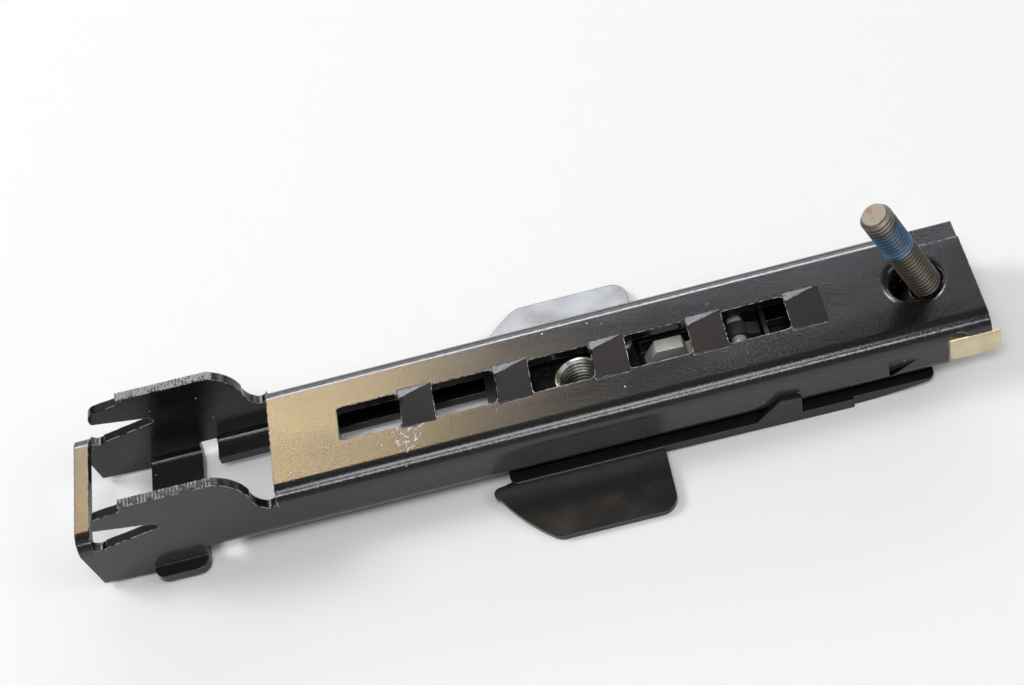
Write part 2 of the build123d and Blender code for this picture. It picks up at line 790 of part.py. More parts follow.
with BuildPart() as release_pusher:
    with BuildSketch(Plane.XY.offset(pusher_top)):
        with Locations((pusher_x, lever_y)):
            Rectangle(pusher_cap, pusher_cap_width)
    extrude(amount=-pusher_cap_thickness)
    with BuildSketch(Plane.XY.offset(pusher_top - pusher_cap_thickness)):
        with Locations((pusher_x, lever_y)):
            Rectangle(pusher_stem, pusher_stem_width)
    button_top = plate_floor[5][1] + pusher_button_thickness
    extrude(amount=-(pusher_top - pusher_cap_thickness - button_top))
    with BuildSketch(Plane.XY.offset(button_top)):
        with Locations((pusher_x, lever_y)):
            RectangleRounded(pusher_button, pusher_button, pusher_corner)
    extrude(amount=-pusher_button_thickness)
    chamfer(release_pusher.edges().group_by(Axis.Z)[0], 0.5)
release_pusher.part.label = "release_pusher"
export_step(release_pusher.part, "parts/release_pusher.step")


with BuildPart() as front_plate:
    plate_end = plate_floor[-1][0]
    with BuildSketch(Plane.XZ.offset(-plate_half_width)):
        with BuildLine():
            Spline(*plate_floor)
            Polyline(plate_floor[-1], (plate_end, plate_top), (plate_start, plate_top), plate_floor[0])
        make_face()
    extrude(amount=2 * plate_half_width)
    # Narrower tail beyond the step
    with BuildSketch(Plane.XY.offset(plate_floor[5][1] - 1)):
        for side in (1, -1):
            with Locations((plate_step + 20, side * (plate_tail_half_width + 2))):
                Rectangle(40, 4)
    extrude(amount=5, mode=Mode.SUBTRACT)
    fillet(
        front_plate.edges()
        .filter_by(Axis.Z)
        .filter_by(lambda e: e.center().X > plate_end - 0.1 or e.center().X < plate_start + 0.1),
        plate_corner,
    )
    # Wings, drooping outwards
    for side in (1, -1):
        droop = wing_droop / (wing_half_span - plate_tail_half_width)
        wing_plane = Plane(
            origin=(0, side * plate_tail_half_width, wing_top), x_dir=(1, 0, 0), z_dir=(0, side * droop, 1)
        )
        reach = wing_half_span - plate_tail_half_width
        with BuildSketch(wing_plane):
            nose_end = (wing_tip + 0.6 * wing_nose, side * 2.1 * wing_nose)
            slant_end = (wing_shoulder - wing_round, side * (reach - 0.7 * wing_round))
            edge_start = (wing_shoulder + 1.3 * wing_round, side * reach)
            corner_start = (wing_end - wing_corner, side * reach)
            corner_end = (wing_end, side * (reach - wing_corner))
            with BuildLine():
                Polyline(
                    (wing_root + wing_sink, -side * wing_sink),
                    (wing_root, side * 0.1),
                    (wing_tip + wing_nose, side * 0.4 * wing_nose),
                )
                ThreePointArc(
                    (wing_tip + wing_nose, side * 0.4 * wing_nose),
                    (wing_tip, side * 1.15 * wing_nose),
                    nose_end,
                )
                slant_mid = (
                    (nose_end[0] + slant_end[0]) / 2 - 0.3 * wing_nose,
                    (nose_end[1] + slant_end[1]) / 2 + side * 0.3 * wing_nose,
                )
                ThreePointArc(nose_end, slant_mid, slant_end)
                ThreePointArc(slant_end, (wing_shoulder, side * (reach - 0.15 * wing_round)), edge_start)
                Line(edge_start, corner_start)
                ThreePointArc(
                    corner_start,
                    (wing_end - 0.29 * wing_corner, side * (reach - 0.29 * wing_corner)),
                    corner_end,
                )
                Polyline(
                    corner_end,
                    (wing_end, -side * wing_sink),
                    (wing_root + wing_sink, -side * wing_sink),
                )
            make_face()
        extrude(amount=-wing_sheet)
    # Fins standing up beside the flanges
    for side in (1, -1):
        with BuildSketch(Plane.XZ.offset(-side * plate_half_width)):
            with BuildLine():
                Polyline(
                    (fin_start - 1.4, plate_top - 0.5),
                    (fin_start, plate_top + 0.8),
                    (fin_crest, fin_top),
                    (fin_end + 0.2, fin_top - 0.5),
                    (fin_end, plate_top - 0.5),
                    close=True,
                )
            make_face()
        extrude(amount=side * fin_thickness)
    # Holes for the collar, its washer and the push piece
    with BuildSketch(Plane.XY.offset(plate_top)):
        with Locations((anchor_x, 0)):
            Circle(anchor_barrel_radius + seat_gap)
        with Locations((plate_rivet_x, plate_rivet_y), (plate_rivet_x, -plate_rivet_y)):
            Circle(plate_rivet_radius + seat_gap)
        with Locations((pusher_x, lever_y)):
            RectangleRounded(
                pusher_button + 2 * pusher_fit, pusher_button + 2 * pusher_fit, pusher_corner + pusher_fit
            )
    extrude(amount=-8, mode=Mode.SUBTRACT)
    with BuildSketch(Plane.XY.offset(washer_seat)):
        with Locations((anchor_x, 0)):
            Circle(washer_radius + washer_gap)
    extrude(amount=-3, mode=Mode.SUBTRACT)
    with BuildSketch(Plane.XY.offset(plate_rivet_seat)):
        with Locations((plate_rivet_x, plate_rivet_y), (plate_rivet_x, -plate_rivet_y)):
            Circle(plate_rivet_head_radius + seat_gap)
    extrude(amount=-3, mode=Mode.SUBTRACT)
front_plate.part.label = "front_plate"
export_step(front_plate.part, "parts/front_plate.step")


with BuildPart() as plate_washer:
    with BuildSketch(Plane.XY.offset(washer_seat)):
        with Locations((anchor_x, 0)):
            Circle(washer_radius)
            Circle(anchor_barrel_radius + seat_gap / 4, mode=Mode.SUBTRACT)
            with PolarLocations(anchor_barrel_radius + 0.3, 6):
                Rectangle(2.4, 1.0, mode=Mode.SUBTRACT)
    extrude(amount=-washer_thickness)
plate_washer.part.label = "plate_washer"
export_step(plate_washer.part, "parts/plate_washer.step")


with BuildPart() as plate_rivets:
    with BuildSketch(Plane.XY.offset(plate_rivet_seat)):
        with Locations((plate_rivet_x, plate_rivet_y), (plate_rivet_x, -plate_rivet_y)):
            Circle(plate_rivet_head_radius)
    extrude(amount=-plate_rivet_head)
    fillet(plate_rivets.edges().group_by(Axis.Z)[0], 0.5)
    with BuildSketch(Plane.XY.offset(plate_rivet_seat)):
        with Locations((plate_rivet_x, plate_rivet_y), (plate_rivet_x, -plate_rivet_y)):
            Circle(plate_rivet_radius)
    extrude(amount=slider_floor - plate_rivet_seat)
plate_rivets.part.label = "plate_rivets"
export_step(plate_rivets.part, "parts/plate_rivets.step")
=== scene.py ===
import logging
import math
from dataclasses import dataclass
from enum import Enum
from typing import Optional, Sequence, Union

import bpy
from mathutils import Matrix, Vector


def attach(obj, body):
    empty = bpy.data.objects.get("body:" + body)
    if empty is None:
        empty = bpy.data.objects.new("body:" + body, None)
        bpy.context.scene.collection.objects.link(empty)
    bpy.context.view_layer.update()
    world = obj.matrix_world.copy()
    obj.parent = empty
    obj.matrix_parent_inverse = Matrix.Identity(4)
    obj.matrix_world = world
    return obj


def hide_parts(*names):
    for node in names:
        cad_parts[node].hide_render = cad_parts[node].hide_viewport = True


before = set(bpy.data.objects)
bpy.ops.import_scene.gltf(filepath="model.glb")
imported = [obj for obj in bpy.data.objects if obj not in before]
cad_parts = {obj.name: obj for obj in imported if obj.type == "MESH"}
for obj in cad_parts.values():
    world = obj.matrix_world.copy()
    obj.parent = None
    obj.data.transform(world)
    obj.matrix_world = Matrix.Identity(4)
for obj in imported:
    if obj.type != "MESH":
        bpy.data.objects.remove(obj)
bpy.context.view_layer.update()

# Looks of a seat belt height adjuster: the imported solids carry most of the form, and this file
# gives every surface its finish and models the threaded pieces, which the solids leave plain.

MM = 0.001
MERGE = 0.001 * MM
SMOOTH_UNDER_DEG = 35.0
log = logging.getLogger("adjuster")

NodeSocket = bpy.types.NodeSocket
Socket = Union[NodeSocket, float, int, tuple]
Colour = Union[NodeSocket, str]
Range = tuple[float, float]
Triple = tuple[float, float, float]


class Body(str, Enum):
    """Rigid bodies that new pieces ride on, by their names in the record."""

    SLIDER = "slider"
    BOLT = "bolt"


def linear(hex_colour: str) -> tuple[float, float, float, float]:
    """Turns an sRGB hex value into an opaque linear colour.

    Args:
        hex_colour: six hex digits with a leading hash.

    Returns:
        Red, green, blue and alpha in scene-linear values.
    """
    parts = [int(hex_colour[i : i + 2], 16) / 255 for i in (1, 3, 5)]
    levels = [c / 12.92 if c <= 0.04045 else ((c + 0.055) / 1.055) ** 2.4 for c in parts]
    return (levels[0], levels[1], levels[2], 1.0)


def per_metre(size_mm: float) -> float:
    """Texture scale on Object coordinates for a pattern whose repeat is size_mm."""
    return 1.0 / (size_mm * MM)


def metres(*lengths_mm: float) -> tuple[float, ...]:
    """Turns millimetres into metres."""
    return tuple(length * MM for length in lengths_mm)


def add_node(
    tree: bpy.types.NodeTree, kind: str, inputs: Optional[dict] = None, **settings: object
) -> bpy.types.Node:
    """Adds one shader node, sets its properties and fills or links its inputs.

    Args:
        tree: node tree that the node goes into.
        kind: Blender's name of the node type.
        inputs: input name or number to a value or to the output socket that feeds it.
        settings: properties of the node.

    Returns:
        The new node.
    """
    node = tree.nodes.new(kind)
    for name, value in settings.items():
        setattr(node, name, value)
    for name, value in (inputs or {}).items():
        if isinstance(value, NodeSocket):
            tree.links.new(value, node.inputs[name])
        else:
            node.inputs[name].default_value = value
    return node


@dataclass(frozen=True)
class Bench:
    """One material in the making, with the nodes that the finishes are put together from."""

    material: bpy.types.Material
    tree: bpy.types.NodeTree
    shader: bpy.types.Node
    coords: NodeSocket
    bevel_samples: int = 6
    sharp_turn: float = 0.85

    def add(self, kind: str, inputs: Optional[dict] = None, **settings: object) -> bpy.types.Node:
        """Adds one node to this material, as add_node does."""
        return add_node(self.tree, kind, inputs, **settings)

    def feed(self, name: str, value: NodeSocket) -> None:
        """Links a value to one input of the shader."""
        self.tree.links.new(value, self.shader.inputs[name])

    def noise(
        self, size_mm: float, detail: float, coords: Optional[NodeSocket] = None
    ) -> NodeSocket:
        """Noise whose features are about size_mm across.

        Args:
            size_mm: feature size in millimetres.
            detail: octaves of finer noise.
            coords: coordinates, if not the plain Object coordinates.

        Returns:
            The noise's value.
        """
        where = self.coords if coords is None else coords
        inputs = {"Vector": where, "Scale": per_metre(size_mm), "Detail": detail}
        return self.add("ShaderNodeTexNoise", inputs).outputs["Fac"]

    def cells(self, size_mm: float, feature: str = "F1") -> NodeSocket:
        """Random cells about size_mm across.

        Args:
            size_mm: size of a cell in millimetres.
            feature: F1 for the distance from a cell's middle, or DISTANCE_TO_EDGE.

        Returns:
            The distance.
        """
        inputs = {"Vector": self.coords, "Scale": per_metre(size_mm), "Randomness": 1.0}
        return self.add("ShaderNodeTexVoronoi", inputs, feature=feature).outputs["Distance"]

    def between(self, value: Socket, source: Range, target: Range = (0.0, 1.0)) -> NodeSocket:
        """Maps a value from one range to another and clamps it.

        Args:
            value: socket or number to map.
            source: inputs that give the target's two ends.
            target: the two ends of the result.

        Returns:
            The mapped value.
        """
        inputs = {
            "Value": value,
            "From Min": source[0],
            "From Max": source[1],
            "To Min": target[0],
            "To Max": target[1],
        }
        return self.add("ShaderNodeMapRange", inputs).outputs["Result"]

    def maths(
        self, a: Socket, b: Socket, operation: str = "MULTIPLY", clamp: bool = True
    ) -> NodeSocket:
        """Joins two values by a product, sum or other operation.

        Args:
            a: first value.
            b: second value.
            operation: Blender's name of the operation.
            clamp: whether the result is kept between 0 and 1.

        Returns:
            The result.
        """
        node = self.add("ShaderNodeMath", {0: a, 1: b}, operation=operation, use_clamp=clamp)
        return node.outputs[0]

    def vectors(self, operation: str, *vectors: Socket, output: str = "Value") -> NodeSocket:
        """Joins vectors.

        Args:
            operation: Blender's name of the operation.
            vectors: one or two vectors.
            output: Value, or Vector where the result is a vector.

        Returns:
            The result.
        """
        inputs = dict(enumerate(vectors))
        return self.add("ShaderNodeVectorMath", inputs, operation=operation).outputs[output]

    def tint(self, amount: Socket, first: Colour, second: Colour) -> NodeSocket:
        """Mixes two colours.

        Args:
            amount: 0 gives the first, 1 gives the second.
            first: a colour's socket or hex value.
            second: a colour's socket or hex value.

        Returns:
            The mixed colour.
        """
        mix = self.add("ShaderNodeMix", {"Factor": amount}, data_type="RGBA")
        for socket, value in ((mix.inputs[6], first), (mix.inputs[7], second)):
            if isinstance(value, str):
                socket.default_value = linear(value)
            else:
                self.tree.links.new(value, socket)
        return mix.outputs[2]

    def part_of(self, axis: str, vector: Optional[NodeSocket] = None) -> NodeSocket:
        """The X, Y or Z part of a vector, by default of the coordinates in metres."""
        where = self.coords if vector is None else vector
        return self.add("ShaderNodeSeparateXYZ", {"Vector": where}).outputs[axis]

    def rounded(self, radius_mm: float) -> NodeSocket:
        """The normal, with edges rounded over a radius in millimetres."""
        inputs = {"Radius": radius_mm * MM}
        return self.add("ShaderNodeBevel", inputs, samples=self.bevel_samples).outputs["Normal"]

    def edge(self, rounded: NodeSocket, gentle_turn: float = 0.995) -> NodeSocket:
        """Finds sharp edges by comparing the true normal with a rounded one.

        Args:
            rounded: the rounded normal.
            gentle_turn: cosine of the turn that doesn't count as an edge yet.

        Returns:
            A mask that is 1 on edges.
        """
        flat = self.add("ShaderNodeNewGeometry").outputs["Normal"]
        turn = self.vectors("DOT_PRODUCT", rounded, flat)
        return self.between(turn, (gentle_turn, self.sharp_turn))

    def from_point(self, point_mm: Triple) -> NodeSocket:
        """Coordinates counted from a point in millimetres."""
        return self.vectors("SUBTRACT", self.coords, metres(*point_mm), output="Vector")

    def thread_depth(self, origin_mm: Triple, axis: Triple, radii_mm: Range) -> NodeSocket:
        """Tells the roots of a thread, where shade is painted, from its crests.

        Args:
            origin_mm: a point on the thread's axis.
            axis: the thread's axis.
            radii_mm: radius of the roots and of the crests.

        Returns:
            0 at the roots and 1 at the crests.
        """
        across = self.vectors("CROSS_PRODUCT", self.from_point(origin_mm), axis, output="Vector")
        return self.between(self.vectors("LENGTH", across), metres(*radii_mm))

    def bump(
        self,
        height: NodeSocket,
        strength: float,
        distance_mm: float,
        normal: Optional[NodeSocket] = None,
        invert: bool = False,
    ) -> NodeSocket:
        """Raises a fine relief.

        Args:
            height: the relief.
            strength: its strength.
            distance_mm: its height in millimetres.
            normal: the normal under it.
            invert: whether it is sunk instead.

        Returns:
            The new normal.
        """
        inputs = {"Height": height, "Strength": strength, "Distance": distance_mm * MM}
        if normal is not None:
            inputs["Normal"] = normal
        return self.add("ShaderNodeBump", inputs, invert=invert).outputs["Normal"]


@dataclass(frozen=True)
class Finish:
    """A surface finish: what the material is and how it was made, as a node material."""

    name: str
    colour: str
    roughness: float = 0.5
    metallic: float = 0.0
    ior: float = 1.5

    def start(self) -> Bench:
        """Makes the material with its shader and its Object coordinates."""
        material = bpy.data.materials.new(self.name)
        material.use_nodes = True
        tree = material.node_tree
        tree.nodes.clear()
        shader = add_node(
            tree,
            "ShaderNodeBsdfPrincipled",
            {
                "Base Color": linear(self.colour),
                "Roughness": self.roughness,
                "Metallic": self.metallic,
                "IOR": self.ior,
            },
        )
        add_node(tree, "ShaderNodeOutputMaterial", {"Surface": shader.outputs["BSDF"]})
        coords = add_node(tree, "ShaderNodeTexCoord").outputs["Object"]
        return Bench(material, tree, shader, coords)

    def rougher(self, less: float, more: float) -> Range:
        """The range of roughness round the finish's own."""
        return (self.roughness - less, self.roughness + more)

    def build(self) -> bpy.types.Material:
        """Makes the plain form of the finish."""
        return self.start().material


@dataclass(frozen=True)
class DipPaint(Finish):
    """Semi-gloss black dip paint on pressed steel, worn through at edges and where it was hit.

    Its ranges say between which values of a noise, normal or height a feature comes up, and its
    shares say how strongly it shows.
    """

    dust: str = "#2B2A29"
    # Painted glint colour of the phosphate grain
    painted_glint: str = "#4A4A50"
    # Pale colour where the paint is gone, also a painted edge highlight on the worn edges
    bare_and_highlight: str = "#D6D5D2"
    edge_mm: float = 0.4
    gentle_turn: float = 0.93
    fine_mm: float = 1.6
    smear_mm: float = 14.0
    smear_stretch: Triple = (0.35, 1.0, 1.0)
    smear_range: Range = (0.45, 0.75)
    smear_share: float = 0.35
    smear_gloss: Range = (0.35, 0.75)
    smear_rough: float = 0.06
    peel_mm: float = 0.5
    peel_strength: float = 0.5
    peel_depth_mm: float = 0.045
    glint_range: Range = (0.5, 0.68)
    glint_share: float = 0.14
    grain_gloss: Range = (0.45, 0.7)
    grain_rough: float = 0.08
    chip_mm: float = 4.5
    chip_range: Range = (0.06, 0.035)
    chip_share: float = 0.7
    chip_area_mm: float = 19.0
    chip_area_range: Range = (0.5, 0.56)
    worn_range: Range = (0.45, 0.53)
    worn_from_mm: Range = (-7.0, -4.0)
    worn_below: float = 0.1
    bare_rough: float = 0.25
    bare_strength: float = 0.5
    bare_depth_mm: float = 0.05
    # Painted shade on the ramps and, darker, where they tilt further towards -X
    slope_shade_colour: str = "#131315"
    slope_x: Range = (-0.1, -0.14)
    slope_z: Range = (0.8, 0.9)
    slope_rough: float = 0.14
    pit_shade_colour: str = "#08080A"
    pit_x: Range = (-0.25, -0.3)
    # Painted reflection on the outer flanks
    flank_reflection_colour: str = "#363537"
    flank_range: Range = (0.012, 0.016)
    flank_reflection_share: float = 0.8
    crack_at_mm: Triple = (26.0, -8.6, 0.0)
    crack_radius_mm: Range = (4.0, 3.2)
    crack_share: float = 0.7
    crack_cell_mm: float = 1.5
    crack_line: Range = (0.12, 0.04)
    crack_gap_mm: float = 1.2
    crack_gap_range: Range = (0.47, 0.55)
    ragged_mm: float = 2.5
    ragged_range: Range = (0.3, 0.7)
    ragged_by_mm: Range = (-2.0, 2.0)

    def build(self) -> bpy.types.Material:
        """Makes the paint with its orange peel, smears, chips and thin edges, and with painted
        glints, painted shade on the ramps and a painted reflection on the flanks.
        """
        bench = self.start()
        rounded = bench.rounded(self.edge_mm)
        # Smears of handling, drawn out along the rail
        stretched = bench.add(
            "ShaderNodeMapping", {"Vector": bench.coords, "Scale": self.smear_stretch}
        ).outputs[0]
        smear = bench.noise(self.smear_mm, 6.0, stretched)
        fine = bench.noise(self.fine_mm, 4.0)
        film = bench.between(smear, self.smear_range, (0.0, self.smear_share))
        colour = bench.tint(bench.maths(film, fine), self.colour, self.dust)
        # Painted glints: lighter specks that stand in for reflections off the phosphate grain
        # under the paint
        grain = bench.noise(self.peel_mm, 4.0)
        painted_glints = bench.between(grain, self.glint_range, (0.0, self.glint_share))
        colour = bench.tint(painted_glints, colour, self.painted_glint)
        # Chips, worn edges and cracks, whose pale worn edges also stand in for painted edge
        # highlights
        bare_and_highlight = self.bare_steel_and_edge_highlights(bench, bench.edge(rounded, self.gentle_turn), fine)
        rough = bench.between(smear, self.smear_gloss, self.rougher(0.0, self.smear_rough))
        grainy = bench.between(grain, self.grain_gloss, (0.0, self.grain_rough))
        rough = bench.maths(rough, grainy, "ADD")
        rough = bench.maths(rough, bench.maths(bare_and_highlight, self.bare_rough), "ADD")
        # Painted shade darkens the sloping ramps, and deeper painted shade lies where they tilt
        # further towards -X
        facing = bench.add("ShaderNodeTexCoord").outputs["Normal"]
        facing_x = bench.part_of("X", facing)
        slope = bench.maths(
            bench.between(facing_x, self.slope_x),
            bench.between(bench.part_of("Z", facing), self.slope_z),
        )
        pit_shade = bench.maths(slope, bench.between(facing_x, self.pit_x))
        rough = bench.maths(rough, bench.maths(slope, self.slope_rough), "ADD")
        colour = bench.tint(slope, colour, self.slope_shade_colour)
        colour = bench.tint(pit_shade, colour, self.pit_shade_colour)
        # Painted reflection of the table lightens the outer flanks, whose normal points away from
        # the middle
        outward = bench.maths(
            bench.part_of("Y", facing), bench.part_of("Y"), "MULTIPLY", clamp=False
        )
        flank_reflection = bench.between(outward, self.flank_range, (0.0, self.flank_reflection_share))
        colour = bench.tint(flank_reflection, colour, self.flank_reflection_colour)
        peel = bench.noise(self.peel_mm, 2.0)
        normal = bench.bump(peel, self.peel_strength, self.peel_depth_mm, rounded)
        normal = bench.bump(bare_and_highlight, self.bare_strength, self.bare_depth_mm, normal, invert=True)
        bench.feed("Base Color", bench.tint(bare_and_highlight, colour, self.bare_and_highlight))
        bench.feed("Roughness", rough)
        bench.feed("Metallic", slope)
        bench.feed("Normal", normal)
        return bench.material

    def bare_steel_and_edge_highlights(self, bench: Bench, edge: NodeSocket, fine: NodeSocket) -> NodeSocket:
        """Finds where the paint is gone: chips, worn edges and cracks. The pale worn edges also
        stand in for painted edge highlights.

        Args:
            bench: the material in the making.
            edge: mask of the edges.
            fine: noise that breaks the worn edges up.

        Returns:
            A mask that is 1 where the paint is gone and on the painted edge highlights.
        """
        spot = bench.between(bench.cells(self.chip_mm), self.chip_range, (0.0, self.chip_share))
        area = bench.between(bench.noise(self.chip_area_mm, 1.0), self.chip_area_range)
        worn = bench.maths(edge, bench.between(fine, self.worn_range))
        # Worn edges and their painted highlights fade out towards the table
        height = bench.between(
            bench.part_of("Z"), metres(*self.worn_from_mm), (self.worn_below, 1.0)
        )
        bare_and_highlight = bench.maths(bench.maths(spot, area), bench.maths(worn, height), "MAXIMUM")
        return bench.maths(bare_and_highlight, bench.maths(self.cracks(bench), self.crack_share), "MAXIMUM")

    def cracks(self, bench: Bench) -> NodeSocket:
        """Crazed paint round one knock on the web, as a mask that is 1 in the cracks."""
        away = bench.vectors("DISTANCE", bench.coords, metres(*self.crack_at_mm))
        ragged = bench.between(
            bench.noise(self.ragged_mm, 4.0), self.ragged_range, metres(*self.ragged_by_mm)
        )
        away = bench.maths(away, ragged, "ADD", clamp=False)
        near = bench.between(away, metres(*self.crack_radius_mm))
        broken = bench.between(bench.noise(self.crack_gap_mm, 4.0), self.crack_gap_range)
        lines = bench.between(
            bench.cells(self.crack_cell_mm, "DISTANCE_TO_EDGE"), self.crack_line
        )
        return bench.maths(bench.maths(near, broken), lines)


@dataclass(frozen=True)
class ZincPlate(Finish):
    """Passivated zinc on steel: a soft metal sheen whose tint drifts from place to place.

    A bore_x gives the place along X of an upright threaded bore, inside which shade is painted,
    and a place along X can be given from which the piece darkens with painted shade.
    """

    tint_colour: str = "#A58E4A"
    edge_mm: float = 0.2
    drift_mm: float = 6.0
    drift_range: Range = (0.35, 0.68)
    dull_mm: float = 1.1
    dull_range: Range = (0.3, 0.7)
    grain_mm: float = 0.25
    grain: float = 0.25
    grain_depth_mm: float = 0.02
    shade_colour: str = "#38383A"
    shaded_from: Optional[float] = None
    shaded_over: float = 3.0
    bore_x: Optional[float] = None
    bore_mm: Range = (5.6, 5.1)
    bore_light: float = 0.35
    bore_mouth_mm: Range = (-5.9, -5.6)

    def build(self) -> bpy.types.Material:
        """Makes the plating with its drifting tint and fine grain."""
        bench = self.start()
        drift = bench.between(bench.noise(self.drift_mm, 4.0), self.drift_range)
        colour = bench.tint(drift, self.colour, self.tint_colour)
        # Painted shade inside the bore, lighter on the thread crests and at its mouth
        if self.bore_x is not None:
            crest = bench.thread_depth((self.bore_x, 0.0, 0.0), (0.0, 0.0, 1.0), self.bore_mm)
            mouth = bench.between(bench.part_of("Z"), metres(*self.bore_mouth_mm))
            unshaded = bench.maths(bench.maths(crest, self.bore_light), mouth, "MAXIMUM")
            colour = bench.tint(unshaded, self.shade_colour, colour)
        # Painted shade darkens the piece from a given place along X onwards
        if self.shaded_from is not None:
            reach = metres(self.shaded_from, self.shaded_from + self.shaded_over)
            colour = bench.tint(bench.between(bench.part_of("X"), reach), colour, self.shade_colour)
        dull = bench.noise(self.dull_mm, 5.0)
        bench.feed("Base Color", colour)
        bench.feed("Roughness", bench.between(dull, self.dull_range, self.rougher(0.08, 0.16)))
        relief = bench.noise(self.grain_mm, 2.0)
        rounded = bench.rounded(self.edge_mm)
        bench.feed("Normal", bench.bump(relief, self.grain, self.grain_depth_mm, rounded))
        return bench.material


@dataclass(frozen=True)
class MouldedPlastic(Finish):
    """Moulded black plastic: spark-eroded grain, soft sheen and light scratches from handling."""

    scuff: str = "#34353A"
    edge_mm: float = 0.3
    edge_share: float = 0.35
    grain_mm: float = 0.35
    grain_strength: float = 0.35
    grain_depth_mm: float = 0.03
    scratch_mm: float = 0.264
    scratch_turns: Range = (0.5, -0.9)
    scratch_stretch: Triple = (0.04, 1.0, 1.0)
    scratch_range: Range = (0.66, 0.72)
    scratch_area_mm: float = 18.0
    scratch_area_range: Range = (0.48, 0.62)
    scratch_share: float = 0.6
    sheen_mm: float = 9.0
    sheen_range: Range = (0.3, 0.7)

    def build(self) -> bpy.types.Material:
        """Makes the plastic with its grain and scratches."""
        bench = self.start()
        rounded = bench.rounded(self.edge_mm)
        first, second = (self.scratches(bench, turn) for turn in self.scratch_turns)
        scratch = bench.maths(first, second, "MAXIMUM")
        area = bench.noise(self.scratch_area_mm, 2.0)
        area = bench.between(area, self.scratch_area_range, (0.0, self.scratch_share))
        rubbed = bench.maths(bench.edge(rounded), self.edge_share)
        mark = bench.maths(bench.maths(scratch, area), rubbed, "MAXIMUM")
        bench.feed("Base Color", bench.tint(mark, self.colour, self.scuff))
        sheen = bench.noise(self.sheen_mm, 4.0)
        bench.feed("Roughness", bench.between(sheen, self.sheen_range, self.rougher(0.06, 0.08)))
        relief = bench.noise(self.grain_mm, 3.0)
        normal = bench.bump(relief, self.grain_strength, self.grain_depth_mm, rounded)
        bench.feed("Normal", normal)
        return bench.material

    def scratches(self, bench: Bench, turn: float) -> NodeSocket:
        """Thin scratches in one direction, from noise drawn out that way.

        Args:
            bench: the material in the making.
            turn: the direction, in radians round Z.

        Returns:
            A mask that is 1 in the scratches.
        """
        drawn = bench.add(
            "ShaderNodeMapping",
            {"Vector": bench.coords, "Rotation": (0.0, 0.0, turn), "Scale": self.scratch_stretch},
        ).outputs[0]
        return bench.between(bench.noise(self.scratch_mm, 2.0, drawn), self.scratch_range)


